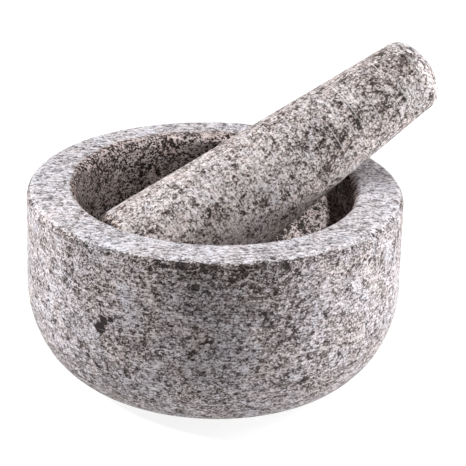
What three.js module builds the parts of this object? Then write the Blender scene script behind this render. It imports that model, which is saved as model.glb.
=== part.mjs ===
// A granite mortar with its pestle lying in it. Units are millimetres and +Z is up. The origin is the centre
// of the mortar's flat base, and the pestle's handle points towards +X.
import * as THREE from "three";

// Mortar
const MORTAR_RADIUS = 80;
const MORTAR_HEIGHT = 84;
const BASE_RADIUS = 45; // the flat underside
const SHOULDER_HEIGHT = 43; // the outer wall is upright above this height and curves in to the base below it
const MOUTH_RADIUS = 59; // the bowl's upright inner wall, just under the rim
const RIM_ROUNDING = 4; // on both edges of the flat rim
const BOWL_WALL_FOOT = 62; // the inner wall is upright above this height and curves in to the floor below it
const BOWL_FLOOR_HEIGHT = 23;

// Pestle, with its stations measured along its own axis from the tip of the grinding end
const PESTLE_LENGTH = 167.5;
const GRINDING_RADIUS = 27; // the widest point
const GRINDING_ROUNDING = 13;
const GRINDING_DOME_RADIUS = 40;
const HANDLE_RADIUS = 16.4; // at the handle's end, before its rounding
const HANDLE_ROUNDING = 8;
const HANDLE_DOME_RADIUS = 25;

// Where the pestle lies: a hair clear of the inner wall at its grinding end and of the rim under its handle
const PESTLE_LEAN = THREE.MathUtils.degToRad(29.7); // its axis above the horizontal
const PESTLE_TIP_X = -47.27;
const PESTLE_TIP_HEIGHT = 44.81;

// Fineness
const MORTAR_SEGMENTS = 96;
const PESTLE_SEGMENTS = 64;
const ROUNDING_STEPS = 5;
const CURVE_STEPS = 14;
const QUARTER_TURN = Math.PI / 2;

// Points of an elliptical arc in (radius, height), angles counted from the outward radial direction.
function arc(centreRadius, centreHeight, reachOut, reachUp, fromAngle, toAngle, steps) {
  const points = [];
  for (let i = 0; i <= steps; i += 1) {
    const angle = THREE.MathUtils.lerp(fromAngle, toAngle, i / steps);
    const radius = centreRadius + reachOut * Math.cos(angle);
    const height = centreHeight + reachUp * Math.sin(angle);
    points.push(new THREE.Vector2(Math.max(radius, 0), height));
  }
  return points;
}

// Arcs that meet end to end share a point, which is kept once.
function joined(...runs) {
  const points = [];
  for (const point of runs.flat()) {
    const last = points.at(-1);
    if (!last || last.distanceTo(point) > 1e-6) points.push(point);
  }
  return points;
}

// A solid of revolution about +Z.
function turned(profile, segments) {
  const geometry = new THREE.LatheGeometry(profile, segments);
  geometry.rotateX(QUARTER_TURN);
  return geometry;
}

function mortarProfile() {
  const baseCentre = [new THREE.Vector2(0, 0)];
  const outerReach = MORTAR_RADIUS - BASE_RADIUS;
  const outerCurve = arc(
    BASE_RADIUS, SHOULDER_HEIGHT, outerReach, SHOULDER_HEIGHT, -QUARTER_TURN, 0, CURVE_STEPS,
  );
  const outerEdge = rimEdge(MORTAR_RADIUS - RIM_ROUNDING, 0);
  const innerEdge = rimEdge(MOUTH_RADIUS + RIM_ROUNDING, QUARTER_TURN);
  const bowlDepth = BOWL_WALL_FOOT - BOWL_FLOOR_HEIGHT;
  const bowl = arc(0, BOWL_WALL_FOOT, MOUTH_RADIUS, bowlDepth, 0, -QUARTER_TURN, CURVE_STEPS);
  return joined(baseCentre, outerCurve, outerEdge, innerEdge, bowl);
}

// A quarter circle on one edge of the rim.
function rimEdge(centreRadius, fromAngle) {
  const centreHeight = MORTAR_HEIGHT - RIM_ROUNDING;
  const toAngle = fromAngle + QUARTER_TURN;
  return arc(centreRadius, centreHeight, RIM_ROUNDING, RIM_ROUNDING, fromAngle, toAngle, ROUNDING_STEPS);
}

// Each end of the pestle is a shallow dome that runs smoothly into a rounding: the rounding's centre in
// (radius, height past the dome's centre) and the angle at which the two meet.
function bluntEnd(endRadius, rounding, domeRadius) {
  const centreRadius = endRadius - rounding;
  const meetingAngle = Math.acos(centreRadius / (domeRadius - rounding));
  const centreHeight = (domeRadius - rounding) * Math.sin(meetingAngle);
  return { centreRadius, centreHeight, meetingAngle };
}

function pestleProfile() {
  const grinding = bluntEnd(GRINDING_RADIUS, GRINDING_ROUNDING, GRINDING_DOME_RADIUS);
  const handle = bluntEnd(HANDLE_RADIUS, HANDLE_ROUNDING, HANDLE_DOME_RADIUS);
  const handleDomeCentre = PESTLE_LENGTH - HANDLE_DOME_RADIUS;
  const grindingHeight = GRINDING_DOME_RADIUS - grinding.centreHeight;
  const handleHeight = handleDomeCentre + handle.centreHeight;
  // The body narrows evenly along the line that touches both roundings.
  const narrowing = grinding.centreRadius - handle.centreRadius;
  const between = handleHeight - grindingHeight;
  const roundingChange = HANDLE_ROUNDING - GRINDING_ROUNDING;
  const taper = Math.acos(roundingChange / Math.hypot(narrowing, between)) - Math.atan2(between, narrowing);

  const grindingDome = arc(
    0, GRINDING_DOME_RADIUS, GRINDING_DOME_RADIUS, GRINDING_DOME_RADIUS,
    -QUARTER_TURN, -grinding.meetingAngle, ROUNDING_STEPS,
  );
  const grindingEdge = arc(
    grinding.centreRadius, grindingHeight, GRINDING_ROUNDING, GRINDING_ROUNDING,
    -grinding.meetingAngle, taper, CURVE_STEPS,
  );
  const handleEdge = arc(
    handle.centreRadius, handleHeight, HANDLE_ROUNDING, HANDLE_ROUNDING,
    taper, handle.meetingAngle, ROUNDING_STEPS,
  );
  const handleDome = arc(
    0, handleDomeCentre, HANDLE_DOME_RADIUS, HANDLE_DOME_RADIUS,
    handle.meetingAngle, QUARTER_TURN, ROUNDING_STEPS,
  );
  return joined(grindingDome, grindingEdge, handleEdge, handleDome);
}

function makeMortar() {
  const granite = new THREE.MeshStandardMaterial({ color: 0x9c9794, roughness: 0.7, metalness: 0 });
  const mesh = new THREE.Mesh(turned(mortarProfile(), MORTAR_SEGMENTS), granite);
  mesh.name = "mortar";
  return mesh;
}

function makePestle() {
  const granite = new THREE.MeshStandardMaterial({ color: 0x9f9790, roughness: 0.7, metalness: 0 });
  const mesh = new THREE.Mesh(turned(pestleProfile(), PESTLE_SEGMENTS), granite);
  mesh.name = "pestle";
  mesh.position.set(PESTLE_TIP_X, 0, PESTLE_TIP_HEIGHT);
  mesh.rotation.y = QUARTER_TURN - PESTLE_LEAN;
  return mesh;
}

const group = new THREE.Group();
group.name = "mortar_and_pestle";
group.add(makeMortar(), makePestle());

export default group;
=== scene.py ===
"""A granite mortar with its pestle lying in it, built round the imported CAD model. Lengths are metres."""

import math

import bpy
import numpy as np
from mathutils import Matrix, Vector, noise


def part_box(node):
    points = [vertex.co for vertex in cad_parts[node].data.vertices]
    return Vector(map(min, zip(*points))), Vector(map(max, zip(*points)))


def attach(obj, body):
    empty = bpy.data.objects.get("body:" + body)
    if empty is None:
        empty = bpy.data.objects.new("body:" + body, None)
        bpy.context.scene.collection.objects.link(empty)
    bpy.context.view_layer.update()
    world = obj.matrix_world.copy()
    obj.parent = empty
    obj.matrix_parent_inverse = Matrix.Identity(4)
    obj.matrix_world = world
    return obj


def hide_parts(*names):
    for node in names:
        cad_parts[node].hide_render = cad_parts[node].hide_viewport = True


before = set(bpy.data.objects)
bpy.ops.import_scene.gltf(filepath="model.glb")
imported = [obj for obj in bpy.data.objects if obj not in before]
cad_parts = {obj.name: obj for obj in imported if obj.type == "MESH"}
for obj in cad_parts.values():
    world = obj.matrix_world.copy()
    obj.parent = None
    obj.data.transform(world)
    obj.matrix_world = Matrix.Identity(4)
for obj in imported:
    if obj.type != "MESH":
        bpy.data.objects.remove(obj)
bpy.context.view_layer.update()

MM = 0.001
ARC_POINTS = 181

# The mortar's outline. Its radius and height come from the frame.
MORTAR_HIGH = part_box("mortar")[1]
MORTAR_RADIUS = MORTAR_HIGH.x
MORTAR_HEIGHT = MORTAR_HIGH.z
BASE_RADIUS = 45 * MM
SHOULDER_HEIGHT = 43 * MM
MOUTH_RADIUS = 59 * MM
RIM_ROUNDING = 4 * MM
BOWL_WALL_FOOT = 62 * MM
BOWL_FLOOR_HEIGHT = 23 * MM
MORTAR_COLUMNS = 400

# Where each rounding of the rim turns from edge to worn crown, in degrees from outwards
OUTER_CROWN_START = 45
INNER_CROWN_END = 140

# The pestle's outline, along its own axis from the tip of the grinding end.
PESTLE_LENGTH = 167.5 * MM
GRINDING_RADIUS = 27 * MM
GRINDING_ROUNDING = 13 * MM
GRINDING_DOME_RADIUS = 40 * MM
HANDLE_RADIUS = 16.4 * MM
HANDLE_ROUNDING = 8 * MM
HANDLE_DOME_RADIUS = 25 * MM
PESTLE_TIP = Vector((-47.27 * MM, 0, 44.81 * MM))
PESTLE_LEAN = math.radians(29.7)
PESTLE_COLUMNS = 220

# Where the stained part of the grinding end's rounding stops, in degrees from outwards
STAINED_SHOULDER_END = -6

# The camera circles the middle of the mortar's axis, then turns a little off it.
CAMERA_AZIMUTH = math.radians(-23.60)
CAMERA_ELEVATION = math.radians(24.26)
CAMERA_DISTANCE = 1.1
CAMERA_LENS_MM = 197.3
CAMERA_TURN = math.radians(-0.416)
CAMERA_TILT = math.radians(0.9895)
CAMERA_ROLL = math.radians(1.409)

# The lamps: name, degrees rightwards from the camera, degrees up, width, power
SOFTBOXES = [
    ("left", -88, 33, 0.12, 17.5),
    ("behind_left", -120, 8, 0.35, 6.0),
    ("right_low", 90, 8, 0.35, 14.8),
    ("right", 90, 32, 0.35, 9.4),
    ("top", 0, 89, 0.35, 7.5),
]
SOFTBOX_DISTANCE = 1.2
SOFTBOX_COLOUR = (0.988, 0.99, 1.0)
FLOOR_REACH = 4.0
FLOOR_COLOUR = (0.2, 0.2, 0.2, 1)
FLOOR_GLOW = 0.85

# Bearings round the mortar, in degrees, are counted from its front, which faces the camera. The pestle's are
# counted from the side of it that does.
MORTAR_FRONT = math.degrees(CAMERA_AZIMUTH) - 90
PESTLE_FRONT = -126.0

# How far out the bowl's stain reaches on the rim, how much further it creeps round one bearing, and over what
# width it fades
STAIN_RADIUS = 60.5 * MM
STAIN_CREEP = 5.5 * MM
STAIN_BEARING = -155
STAIN_FADE = 2.0 * MM

# What the stone's wear marks and painted shade are, and how strong each is on the pestle's stretches
WEAR_AND_SHADE = ("worn", "stained", "painted_edge_shade")
PESTLE_WEAR = {
    "tip": (0.0, 1.0, 0.0),
    "low_shoulder": (0.0, 1.0, 0.0),
    "shoulder": (0.0, 0.3, 0.0),
    "edge": (0.45, 0.0, 0.0),
    "dome": (0.3, 0.0, 0.0),
}

# Small pits where grains broke out, and chips on the rim's edges. Their noise is read away from the lumps.
PIT_CELL = 5 * MM
PIT_REACH = 1.7 * MM
PIT_DEPTH = 0.35 * MM
PIT_SHARE = 0.42
PIT_ELSEWHERE = Vector((7.3, 1.9, 4.1))
PIT_CHOICE = 0.37
CHIPS_ELSEWHERE = Vector((0.1, 0, 0))
EDGES = ("outer_edge", "outer_crown", "inner_crown", "inner_edge")

# The granite's colours from its darkest grains to its palest
MINERALS = [
    (0.00, (0.018, 0.013, 0.012)),  # biotite
    (0.20, (0.055, 0.043, 0.039)),
    (0.35, (0.132, 0.111, 0.106)),  # smoky quartz
    (0.50, (0.263, 0.236, 0.230)),
    (0.65, (0.413, 0.388, 0.391)),  # feldspar
    (0.82, (0.534, 0.513, 0.525)),
    (1.00, (0.606, 0.598, 0.622)),
]

# The speckle's layers: crystals and clouds of one tone, each with its size in mm and its weight
CRYSTALS = ((1.05, 0.44), (0.60, 0.74))
CLOUDS = ((17.0, 0.52), (4.5, 0.60))

# Flecks of dark mica: size in mm, how rare they are, how dark. They gather in some places.
FLECKS = ((2.7, 0.90, 0.26), (1.6, 0.84, 0.30))
FLECK_SOFTNESS = 0.08
GATHERING_SIZE = 7.0
GATHERING = 0.9

# Slow drifts of colour: size in mm, the warm end and the cool end
DRIFTS = (
    (16.0, (1.03, 0.985, 0.97), (0.985, 0.99, 1.015)),
    (5.0, (1.02, 0.985, 0.98), (0.985, 0.99, 1.02)),
)
DRIFT_MIDDLE = (1.0, 0.985, 0.99)

# Each stone's granite: how pale it is, how strong its speckle, its tint, and how drawn out its grains
MORTAR_GRANITE = (0.53, 0.88, (0.999, 1.0, 0.999), 1.25)
PESTLE_GRANITE = (0.62, 0.99, (1.02, 1.0, 0.955), 1.0)

# What wear, and the painted shade on the rim's outer edge, do to the granite
WORN_LIGHTER = 0.16
WORN_CONTRAST = 0.45
WORN_SMOOTHER = 0.22
STAINED_DARKER = 0.05
STAINED_CONTRAST = 1.9
STAIN_COLOUR = (0.86, 0.765, 0.70)
# Painted shade on the rim's outer edge, just under its crease
PAINTED_EDGE_SHADE_DARKER = 0.09
# Pale bluish rubbing, partly real wear and partly a painted sheen
RUBBED_SHEEN_COLOUR = (0.64, 0.64, 0.67)
RUBBED_SHEEN_MOST = 0.42
SCRATCH_COLOUR = (0.62, 0.59, 0.59)
SCRATCH_MOST = 0.55

# How the light meets it
ROUGHNESS = 0.68
FLAKE_SIZE = 0.8
FLAKE_SMOOTHER = 0.35
SPECULAR = 0.22
BUMP_STRENGTH = 0.55
BUMP_DEPTH = 0.25 * MM

# Dark inclusions, shadowy patches and, where the darkness is below zero, pale ones; on the mortar some are
# painted shade just under the front of the rim, and the two broad pale ones on its sides are painted light.
# Each is how far round from the front in degrees, height in mm, reach in mm and darkness.
MORTAR_MARKS_AND_PAINTED_SHADING = [
    (-34.8, 47.6, 2.9, 0.95),
    (-33.4, 51.2, 2.1, 0.90),
    (-31.0, 52.4, 1.6, 0.85),
    (-46.0, 71.0, 1.2, 0.28),
    (-46.0, 68.0, 1.3, 0.28),
    (-45.5, 64.0, 1.5, 0.22),
    (-49.0, 36.5, 2.0, 0.28),
    (-47.0, 41.0, 3.5, 0.12),
    (-40.0, 32.5, 1.4, 0.42),
    (-32.0, 81.5, 1.0, 0.50),
    (-5.0, 73.0, 1.9, 0.40),
    # Painted shade just under the rim's crease, at the front
    (-9.0, 82.0, 4.0, 0.17),
    (8.0, 81.0, 3.8, 0.20),
    (7.0, 62.0, 0.9, 0.50),
    (21.0, 81.0, 1.9, 0.30),
    (25.0, 77.5, 1.8, 0.42),
    (35.0, 56.5, 1.9, 0.36),
    (30.0, 27.5, 2.6, 0.22),
    # More painted shade just under the rim's crease
    (-1.0, 82.0, 4.0, 0.15),
    (-16.0, 82.0, 3.0, 0.14),
    (-8.0, 75.0, 16.0, 0.11),
    # Painted light on the sides that face the side lamps
    (-82.0, 50.0, 52.0, -0.05),
    (74.0, 50.0, 52.0, -0.04),
    (14.0, 73.0, 18.0, 0.11),
]

# The same in the bowl, where they stand in for the deep shadow between it and the pestle
BOWL_MARKS = [(149.0, 43.0, 5.5, 0.75), (145.5, 46.0, 3.0, 0.50)]

# The same on the pestle, where the height is the distance from its grinding tip
PESTLE_MARKS = [
    (-1, 98.5, 3.6, 0.20),
    (20, 115.5, 2.6, 0.32),
    (21, 123.5, 1.7, 0.42),
    (8, 123.5, 3.4, 0.22),
    (-46, 132.5, 3.4, 0.18),
    (-15, 113.5, 1.6, 0.28),
    (24, 134.5, 2.0, 0.26),
    (29, 146.5, 1.4, 0.34),
    (-17, 157.5, 4.2, 0.18),
    (-46, 93.5, 3.2, 0.15),
    (15, 102.5, 1.9, 0.26),
    (29, 96.5, 1.9, 0.22),
    (0, 48.5, 2.4, 0.30),
    (1, 53.5, 1.8, 0.32),
    (27, 70.5, 2.6, 0.30),
    (22, 87.5, 1.9, 0.34),
    (-22, 34.5, 1.9, 0.20),
    (56, 80.5, 1.4, 0.30),
    (0, 132, 48.0, 0.055),
    (0, 30, 40.0, -0.04),
]


# ---------------------------------------------------------------- outlines
def arc(centre, reach, start, end):
    """Close-set points of an elliptical arc in (radius, height), its angles in degrees from outwards."""
    angles = np.radians(np.linspace(start, end, ARC_POINTS))
    return np.column_stack([centre[0] + reach[0] * np.cos(angles), centre[1] + reach[1] * np.sin(angles)])


def evenly(run, spacing):
    """The same line with its points set evenly, about that far apart."""
    steps = np.linalg.norm(np.diff(run, axis=0), axis=1)
    along = np.concatenate([[0], np.cumsum(steps)])
    places = np.linspace(0, along[-1], max(2, math.ceil(along[-1] / spacing)) + 1)
    return np.column_stack([np.interp(places, along, run[:, axis]) for axis in (0, 1)])


def mortar_runs():
    """The outline's stretches from the base's centre to the bowl's: name, points, spacing."""
    edge_height = MORTAR_HEIGHT - RIM_ROUNDING
    outer_edge = MORTAR_RADIUS - RIM_ROUNDING
    inner_edge = MOUTH_RADIUS + RIM_ROUNDING
    rounding = (RIM_ROUNDING, RIM_ROUNDING)
    curve = arc((BASE_RADIUS, SHOULDER_HEIGHT), (MORTAR_RADIUS - BASE_RADIUS, SHOULDER_HEIGHT), -90, 0)
    hollow = arc((0, BOWL_WALL_FOOT), (MOUTH_RADIUS, BOWL_WALL_FOOT - BOWL_FLOOR_HEIGHT), 0, -90)
    return [
        ("base", np.array([(0, 0), (BASE_RADIUS, 0)]), 3 * MM),
        ("side", np.vstack([curve, (MORTAR_RADIUS, edge_height)]), 0.85 * MM),
        ("outer_edge", arc((outer_edge, edge_height), rounding, 0, OUTER_CROWN_START), 0.6 * MM),
        ("outer_crown", arc((outer_edge, edge_height), rounding, OUTER_CROWN_START, 90), 0.6 * MM),
        ("rim", np.array([(outer_edge, MORTAR_HEIGHT), (inner_edge, MORTAR_HEIGHT)]), 0.8 * MM),
        ("inner_crown", arc((inner_edge, edge_height), rounding, 90, INNER_CROWN_END), 0.6 * MM),
        ("inner_edge", arc((inner_edge, edge_height), rounding, INNER_CROWN_END, 180), 0.6 * MM),
        ("bowl", np.vstack([(MOUTH_RADIUS, edge_height), hollow]), 1.2 * MM),
    ]


def blunt_end(end_radius, rounding, dome_radius):
    """A shallow dome in a rounding: the rounding's centre, counted from the dome's, and where they meet."""
    centre_radius = end_radius - rounding
    meeting = math.acos(centre_radius / (dome_radius - rounding))
    return centre_radius, (dome_radius - rounding) * math.sin(meeting), math.degrees(meeting)


def pestle_runs():
    """The same for the pestle, from the tip of its grinding end. Its body touches both roundings."""
    tip_radius, tip_shift, tip_meeting = blunt_end(GRINDING_RADIUS, GRINDING_ROUNDING, GRINDING_DOME_RADIUS)
    end_radius, end_shift, end_meeting = blunt_end(HANDLE_RADIUS, HANDLE_ROUNDING, HANDLE_DOME_RADIUS)
    tip_height = GRINDING_DOME_RADIUS - tip_shift
    dome_centre = PESTLE_LENGTH - HANDLE_DOME_RADIUS
    end_height = dome_centre + end_shift
    narrowing = tip_radius - end_radius
    between = end_height - tip_height
    lean = math.acos((HANDLE_ROUNDING - GRINDING_ROUNDING) / math.hypot(narrowing, between))
    taper = math.degrees(lean - math.atan2(between, narrowing))
    tip = arc((0, GRINDING_DOME_RADIUS), (GRINDING_DOME_RADIUS, GRINDING_DOME_RADIUS), -90, -tip_meeting)
    rounding = (GRINDING_ROUNDING, GRINDING_ROUNDING)
    low_shoulder = arc((tip_radius, tip_height), rounding, -tip_meeting, STAINED_SHOULDER_END)
    shoulder = arc((tip_radius, tip_height), rounding, STAINED_SHOULDER_END, taper)
    edge = arc((end_radius, end_height), (HANDLE_ROUNDING, HANDLE_ROUNDING), taper, end_meeting)
    dome = arc((0, dome_centre), (HANDLE_DOME_RADIUS, HANDLE_DOME_RADIUS), end_meeting, 90)
    return [
        ("tip", tip, 0.8 * MM),
        ("low_shoulder", low_shoulder, 0.8 * MM),
        ("shoulder", shoulder, 0.8 * MM),
        ("body", np.array([shoulder[-1], edge[0]]), 0.8 * MM),
        ("edge", edge, 0.6 * MM),
        ("dome", dome, 0.6 * MM),
    ]


# ---------------------------------------------------------------- meshes
def turned_piece(name, runs, columns, place, relief, wear_and_painted_shade):
    """A fine solid of revolution. relief(point, run) is how far the stone has worn or broken inwards there.

    runs holds (name, points, spacing); place takes the piece's own frame, its axis along Z, to the row frame.
    Its last argument, called with (point, run), gives how strong each wear mark, and the painted shade, is
    there, which the granite reads.
    """
    outline = []
    run_of_row = []
    for run_name, points, spacing in runs:
        for point in evenly(points, spacing)[1 if outline else 0 :]:
            outline.append(point)
            run_of_row.append(run_name)
    outline = np.array(outline)
    tangent = np.gradient(outline, axis=0)
    tangent /= np.linalg.norm(tangent, axis=1)[:, None]
    inwards = np.column_stack([-tangent[:, 1], tangent[:, 0]])
    turn = np.arange(columns) * 2 * math.pi / columns
    vertices = []
    wear_and_shade_marks = []
    last = len(outline) - 1
    for row, (radius, height) in enumerate(outline):
        around = turn[:1] if row in (0, last) else turn
        for angle in around:
            cos, sin = math.cos(angle), math.sin(angle)
            point = Vector((radius * cos, radius * sin, height))
            depth = relief(point, run_of_row[row])
            shift_out, shift_up = inwards[row] * depth
            if row in (0, last):
                shift_out = 0
            vertices.append(place @ (point + Vector((shift_out * cos, shift_out * sin, shift_up))))
            wear_and_shade_marks.append(wear_and_painted_shade(point, run_of_row[row]))
    faces = []
    first_ring = 1
    top_ring = first_ring + (last - 2) * columns
    for column in range(columns):
        after = (column + 1) % columns
        faces.append((0, first_ring + after, first_ring + column))
        faces.append((top_ring + column, top_ring + after, len(vertices) - 1))
        for row in range(last - 2):
            low = first_ring + row * columns
            high = low + columns
            faces.append((low + column, low + after, high + after, high + column))
    mesh = bpy.data.meshes.new(name)
    mesh.from_pydata(vertices, [], faces)
    mesh.polygons.foreach_set("use_smooth", [True] * len(mesh.polygons))
    for mark, values in zip(WEAR_AND_SHADE, zip(*wear_and_shade_marks)):
        mesh.attributes.new(mark, "FLOAT", "POINT").data.foreach_set("value", values)
    mesh.update()
    piece = bpy.data.objects.new(name, mesh)
    bpy.context.scene.collection.objects.link(piece)
    return piece


def rough(point, size, octaves=1):
    """Smooth noise from 0 to 1 whose lumps are about that size."""
    value = 0.0
    share = 1.0
    total = 0.0
    for _ in range(octaves):
        value += share * noise.noise(point / size)
        total += share
        share *= 0.5
        size *= 0.5
    return min(1.0, max(0.0, 0.5 + 0.5 * value / total))


def pit(point):
    """How deep the stone is broken out there. The noise at a cell's centre says whether it holds a pit."""
    distances, centres = noise.voronoi(point / PIT_CELL)
    if rough(centres[0] + PIT_ELSEWHERE, PIT_CHOICE) > PIT_SHARE:
        return 0.0
    return PIT_DEPTH * max(0.0, 1 - distances[0] * PIT_CELL / PIT_REACH) ** 2


def mortar_relief(point, run):
    if run == "base":
        return 0.0
    depth = 0.12 * MM * rough(point, 30 * MM) + 0.12 * MM * rough(point, 3.4 * MM, 2)
    depth += pit(point)
    if run in EDGES:
        chipped = rough(point + CHIPS_ELSEWHERE, 6 * MM, 2)
        depth += 0.9 * MM * max(0.0, chipped - 0.68)
    return depth


def pestle_relief(point, run):
    depth = 0.16 * MM * rough(point, 24 * MM) + 0.14 * MM * rough(point, 3.2 * MM, 2)
    depth += pit(point)
    if run == "edge":
        chipped = rough(point, 5 * MM, 2)
        depth += 0.8 * MM * max(0.0, chipped - 0.6)
    return depth


# ---------------------------------------------------------------- wear and painted shade
def mortar_wear_and_shade(point, run):
    """The rim is worn, the bowl stained and the outer edge under the rim's crease darkened with painted
    shade. The stain creeps over the rim.
    """
    if run in ("outer_crown", "rim", "inner_crown"):
        bearing = math.atan2(point.y, point.x) - math.radians(MORTAR_FRONT + STAIN_BEARING)
        edge = STAIN_RADIUS + STAIN_CREEP * max(0.0, math.cos(bearing)) ** 2
        stained = min(1.0, max(0.0, (edge - math.hypot(point.x, point.y)) / STAIN_FADE + 0.5))
        return 1.0 - stained, stained, 0.0
    if run in ("inner_edge", "bowl"):
        return 0.0, 1.0, 0.0
    # Painted shade on the outer rounding, just under the rim's crease
    return 0.0, 0.0, 1.0 if run == "outer_edge" else 0.0


def pestle_wear(point, run):
    return PESTLE_WEAR.get(run, (0.0, 0.0, 0.0))


# ---------------------------------------------------------------- materials
class Nodes:
    """A material's node tree, with a short call for each kind of node used here. Positions are in mm."""

    def __init__(self, name):
        self.material = bpy.data.materials.new(name)
        self.material.use_nodes = True
        self.tree = self.material.node_tree
        self.tree.nodes.clear()

    def add(self, kind, inputs=None, **settings):
        node = self.tree.nodes.new("ShaderNode" + kind)
        for key, value in settings.items():
            setattr(node, key, value)
        for key, value in (inputs or {}).items():
            self.feed(node.inputs[key], value)
        return node

    def feed(self, socket, value):
        if isinstance(value, bpy.types.NodeSocket):
            self.tree.links.new(value, socket)
        else:
            socket.default_value = value

    def math(self, operation, a, b=0.0):
        return self.add("Math", {0: a, 1: b}, operation=operation).outputs[0]

    def vector(self, operation, a, b):
        return self.add("VectorMath", {0: a, 1: b}, operation=operation).outputs["Vector"]

    def noise(self, position, size, detail=2.0, roughness=0.5):
        inputs = {"Vector": position, "Scale": 1 / size, "Detail": detail, "Roughness": roughness}
        return self.add("TexNoise", inputs)

    def cell(self, position, size, channel):
        """A value from 0 to 1 that differs from one crystal of about that size to the next."""
        cells = self.add("TexVoronoi", {"Vector": position, "Scale": 1 / size})
        return self.add("SeparateColor", {"Color": cells.outputs["Color"]}).outputs[channel]

    def centred(self, value):
        return self.math("SUBTRACT", value, 0.5)

    def plus(self, total, terms):
        """The total with each value added, times its weight."""
        for value, weight in terms:
            total = self.math("ADD", total, self.math("MULTIPLY", value, weight))
        return total

    def between(self, value, low, high, to_low=0.0, to_high=1.0):
        """Runs smoothly from to_low where value is low to to_high where it is high."""
        inputs = {"Value": value, "From Min": low, "From Max": high, "To Min": to_low, "To Max": to_high}
        return self.add("MapRange", inputs, interpolation_type="SMOOTHSTEP").outputs["Result"]

    def ramp(self, value, stops):
        node = self.add("ValToRGB", {"Fac": value})
        elements = node.color_ramp.elements
        while len(elements) < len(stops):
            elements.new(0.5)
        for element, (place, colour) in zip(elements, stops):
            element.position = place
            element.color = (*colour, 1)
        return node.outputs["Color"]

    def mix(self, share, a, b, blend="MIX"):
        node = self.add("Mix", data_type="RGBA", blend_type=blend)
        self.feed(node.inputs[0], share)
        for socket, colour in ((node.inputs[6], a), (node.inputs[7], b)):
            self.feed(socket, (*colour, 1) if isinstance(colour, tuple) else colour)
        return node.outputs[2]


def wear_and_shade_masks(n, here):
    """How worn and stained the stone is, and how strong the painted shade is, each from 0 to 1 with a ragged
    edge.
    """
    ragged = n.math("MULTIPLY", n.centred(n.noise(here, 2.5, 3).outputs["Fac"]), 1.6)
    masks = []
    for mark in WEAR_AND_SHADE:
        strength = n.add("Attribute", attribute_name=mark).outputs["Fac"]
        masks.append(n.between(n.math("ADD", strength, ragged), 0.30, 0.70))
    return masks


def turning_place(n, here, from_own_frame):
    """X and Y in the piece's own frame, and height plus radius, for rings on walls and flats alike."""
    into_own_frame = from_own_frame.inverted()
    turn_back = into_own_frame.to_euler()
    shift_back = into_own_frame.to_translation() / MM
    own = n.add("Mapping", {"Vector": here, "Location": shift_back, "Rotation": turn_back}).outputs["Vector"]
    axes = n.add("SeparateXYZ", {"Vector": own}).outputs
    radius = n.math("SQRT", n.math("ADD", n.math("POWER", axes["X"], 2), n.math("POWER", axes["Y"], 2)))
    return axes["X"], axes["Y"], n.math("ADD", axes["Z"], radius)


def turning_lines(n, turning, around, across, detail):
    """Noise drawn out into lines round the piece: how long and how wide its features are, in mm."""
    sizes = (around, around, across)
    scaled = {axis: n.math("MULTIPLY", value, 1 / size) for axis, value, size in zip("XYZ", turning, sizes)}
    place = n.add("CombineXYZ", scaled).outputs["Vector"]
    return n.noise(place, 1.0, detail, 0.6).outputs["Fac"]


def speckled(n, here, crystals):
    """Crystals and clouds of several tones, less the flecks of dark mica."""
    terms = [(n.centred(n.cell(crystals, size, "Red")), weight) for size, weight in CRYSTALS]
    terms += [(n.centred(n.noise(here, size, 3, 0.6).outputs["Fac"]), weight) for size, weight in CLOUDS]
    speckle = n.plus(0.0, terms)
    gathered = n.math("MULTIPLY", n.centred(n.noise(here, GATHERING_SIZE, 2).outputs["Fac"]), GATHERING)
    for size, rarity, depth in FLECKS:
        chance = n.math("ADD", n.cell(crystals, size, "Green"), gathered)
        fleck = n.between(chance, rarity, rarity + FLECK_SOFTNESS, 0.0, depth)
        speckle = n.math("SUBTRACT", speckle, fleck)
    return speckle


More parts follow.
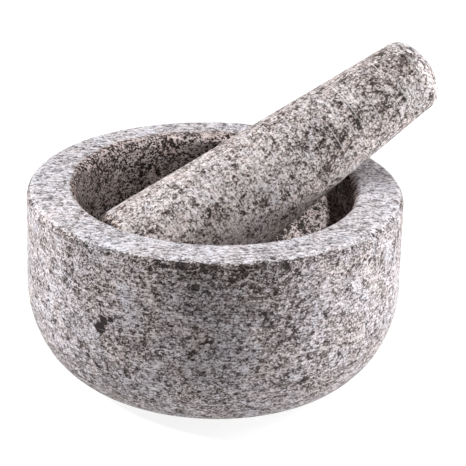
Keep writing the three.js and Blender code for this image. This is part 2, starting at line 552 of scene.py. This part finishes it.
def granite(name, from_own_frame, lightness, contrast, tint, drawn_out, spots):
    """Speckled granite. from_own_frame takes the piece's own frame, its axis along Z, to the row frame.

    The mesh says where it is worn smooth, stained and darkened with painted shade. drawn_out is how much
    longer than high its grains are, all in one direction, level and across the camera's view. Each spot is
    (place, reach, darkness); some spots are painted shade or painted light.
    """
    n = Nodes(name)
    here = n.vector("MULTIPLY", n.add("TexCoord").outputs["Object"], (1 / MM, 1 / MM, 1 / MM))
    worn, stained, painted_edge_shade = wear_and_shade_masks(n, here)
    turning = turning_place(n, here, from_own_frame)

    # How pale each grain is. Its edges wander, and facing is the same place with X across the camera's view.
    wander = n.vector("SUBTRACT", n.noise(here, 0.9, 3).outputs["Color"], (0.5, 0.5, 0.5))
    wander = n.vector("MULTIPLY", wander, (1.3, 1.3, 1.3))
    bent = n.vector("ADD", here, wander)
    facing = n.add("Mapping", {"Vector": here, "Rotation": (0, 0, -CAMERA_AZIMUTH)}).outputs["Vector"]
    squeeze = math.sqrt(drawn_out)
    crystals = n.vector("ADD", n.vector("MULTIPLY", facing, (1 / squeeze, 1, squeeze)), wander)
    sharper = n.plus(contrast, [(stained, STAINED_CONTRAST), (worn, WORN_CONTRAST)])
    # The painted shade darkens the rim's outer edge
    wear_and_painted_shade = [(worn, WORN_LIGHTER), (stained, -STAINED_DARKER), (painted_edge_shade, -PAINTED_EDGE_SHADE_DARKER)]
    grain = n.plus(lightness, [(speckled(n, here, crystals), sharper), *wear_and_painted_shade])
    # Darker and paler spots, some of them painted shade or painted light
    for place, reach, darkness in spots:
        far = n.add("VectorMath", {0: bent, 1: place}, operation="DISTANCE").outputs["Value"]
        grain = n.math("SUBTRACT", grain, n.between(far, reach * 0.6, reach * 1.1, darkness, 0.0))
    colour = n.ramp(grain, MINERALS)

    # Slow drifts between warm and cool
    colour = n.mix(1.0, colour, tint, "MULTIPLY")
    for size, warm, cool in DRIFTS:
        drift = n.noise(here, size, 2).outputs["Fac"]
        drift_colour = n.ramp(drift, [(0.35, warm), (0.5, DRIFT_MIDDLE), (0.65, cool)])
        colour = n.mix(1.0, colour, drift_colour, "MULTIPLY")

    # Fine lines left by turning, which run straight where the stone is worn, and a few pale scratches
    ground = n.noise(n.vector("MULTIPLY", facing, (1 / 4.5, 1, 1)), 1.0, 2, 0.6).outputs["Fac"]
    turned = turning_lines(n, turning, 9.0, 0.45, 2)
    scored = n.plus(turned, [(worn, n.math("SUBTRACT", ground, turned))])
    colour = n.mix(1.0, colour, n.between(scored, 0.28, 0.72, 0.70, 1.30), "MULTIPLY")
    scratch = n.between(turning_lines(n, turning, 30.0, 1.1, 1), 0.66, 0.74, 0.0, SCRATCH_MOST)
    colour = n.mix(scratch, colour, SCRATCH_COLOUR)

    # The rim, rubbed pale and bluish, partly by wear and partly as a painted sheen, and the bowl, stained by
    # what is ground in it
    rubbed_sheen = n.math("MULTIPLY", worn, n.between(ground, 0.40, 0.65, 0.0, RUBBED_SHEEN_MOST))
    colour = n.mix(rubbed_sheen, colour, RUBBED_SHEEN_COLOUR)
    colour = n.mix(stained, colour, n.mix(1.0, colour, STAIN_COLOUR, "MULTIPLY"))

    # Crystals stand a little proud or sunk, and mica flakes glint
    bumps = n.math("ADD", n.math("MULTIPLY", grain, 0.7), n.math("MULTIPLY", scored, 0.6))
    bump = n.add("Bump", {"Height": bumps, "Strength": BUMP_STRENGTH, "Distance": BUMP_DEPTH})
    normal = bump.outputs["Normal"]
    flake = n.between(n.cell(here, FLAKE_SIZE, "Green"), 0.9, 0.95)
    roughness = n.plus(ROUGHNESS, [(flake, -FLAKE_SMOOTHER), (worn, -WORN_SMOOTHER)])
    shader = n.add("BsdfPrincipled", {"Base Color": colour, "Roughness": roughness, "Normal": normal})
    shader.inputs["Specular IOR Level"].default_value = SPECULAR
    n.add("OutputMaterial", {"Surface": shader.outputs["BSDF"]})
    return n.material


# ---------------------------------------------------------------- pieces
def marks_on(runs, sides, place, front, marks):
    """Where the marks are on those sides of a piece, in mm of the row frame, with reach and darkness."""
    outline = np.vstack([points for name, points, _ in runs if name in sides])
    outline = outline[np.argsort(outline[:, 1])]
    placed = []
    for turn, height, reach, darkness in marks:
        angle = math.radians(front + turn)
        radius = np.interp(height * MM, outline[:, 1], outline[:, 0])
        middle = place @ Vector((radius * math.cos(angle), radius * math.sin(angle), height * MM))
        placed.append((middle / MM, reach, darkness))
    return placed


def make_mortar():
    upright = Matrix.Identity(4)
    runs = mortar_runs()
    piece = turned_piece("mortar_stone", runs, MORTAR_COLUMNS, upright, mortar_relief, mortar_wear_and_shade)
    spots = marks_on(runs, ("side", "outer_edge"), upright, MORTAR_FRONT, MORTAR_MARKS_AND_PAINTED_SHADING)
    spots += marks_on(runs, ("bowl",), upright, MORTAR_FRONT, BOWL_MARKS)
    piece.data.materials.append(granite("mortar_granite", upright, *MORTAR_GRANITE, spots))
    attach(piece, "mortar")
    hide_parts("mortar")


def make_pestle():
    leaning = Matrix.Translation(PESTLE_TIP) @ Matrix.Rotation(math.pi / 2 - PESTLE_LEAN, 4, "Y")
    runs = pestle_runs()
    piece = turned_piece("pestle_stone", runs, PESTLE_COLUMNS, leaning, pestle_relief, pestle_wear)
    sides = ("tip", "low_shoulder", "shoulder", "body", "edge")
    spots = marks_on(runs, sides, leaning, PESTLE_FRONT, PESTLE_MARKS)
    piece.data.materials.append(granite("pestle_granite", leaning, *PESTLE_GRANITE, spots))
    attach(piece, "pestle")
    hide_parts("pestle")


# ---------------------------------------------------------------- studio
def direction(azimuth, elevation):
    """Away from the mortar, its azimuth in degrees rightwards from the camera's own."""
    azimuth = CAMERA_AZIMUTH + math.radians(azimuth)
    elevation = math.radians(elevation)
    flat = math.cos(elevation)
    return Vector((math.sin(azimuth) * flat, -math.cos(azimuth) * flat, math.sin(elevation)))


def make_camera():
    back = direction(0, math.degrees(CAMERA_ELEVATION))
    data = bpy.data.cameras.new("camera")
    data.lens = CAMERA_LENS_MM
    camera = bpy.data.objects.new("camera", data)
    bpy.context.scene.collection.objects.link(camera)
    look = (-back).to_track_quat("-Z", "Y").to_matrix()
    off_aim = (
        Matrix.Rotation(CAMERA_TURN, 3, "Y")
        @ Matrix.Rotation(CAMERA_TILT, 3, "X")
        @ Matrix.Rotation(CAMERA_ROLL, 3, "Z")
    )
    place = Vector((0, 0, MORTAR_HEIGHT / 2)) + back * CAMERA_DISTANCE
    camera.matrix_world = Matrix.Translation(place) @ (look @ off_aim).to_4x4()
    bpy.context.scene.camera = camera


def make_softbox(name, azimuth, elevation, size, power):
    away = direction(azimuth, elevation)
    data = bpy.data.lights.new(name, "AREA")
    data.shape = "DISK"
    data.size = size
    data.energy = power
    data.color = SOFTBOX_COLOUR
    lamp = bpy.data.objects.new(name, data)
    lamp.location = Vector((0, 0, MORTAR_HEIGHT / 2)) + away * SOFTBOX_DISTANCE
    lamp.rotation_euler = (-away).to_track_quat("-Z", "Y").to_euler()
    bpy.context.scene.collection.objects.link(lamp)


def make_floor():
    """A wide floor that glows, so that it looks white and the piece casts almost no shadow on it."""
    mesh = bpy.data.meshes.new("floor")
    corners = [(x * FLOOR_REACH, y * FLOOR_REACH, 0) for x, y in ((-1, -1), (1, -1), (1, 1), (-1, 1))]
    mesh.from_pydata(corners, [], [(0, 1, 2, 3)])
    floor = bpy.data.objects.new("floor", mesh)
    bpy.context.scene.collection.objects.link(floor)
    n = Nodes("floor")
    shader = n.add("BsdfPrincipled", {"Roughness": 0.9})
    shader.inputs["Base Color"].default_value = FLOOR_COLOUR
    shader.inputs["Emission Color"].default_value = (1, 1, 1, 1)
    shader.inputs["Emission Strength"].default_value = FLOOR_GLOW
    n.add("OutputMaterial", {"Surface": shader.outputs["BSDF"]})
    mesh.materials.append(n.material)


def make_world():
    """A world that gives no light of its own."""
    world = bpy.data.worlds.new("studio")
    bpy.context.scene.world = world
    world.use_nodes = True
    world.node_tree.nodes["Background"].inputs["Strength"].default_value = 0.0


make_mortar()
make_pestle()
make_camera()
make_floor()
make_world()
for softbox in SOFTBOXES:
    make_softbox(*softbox)

bpy.context.scene.view_settings.view_transform = "Standard"
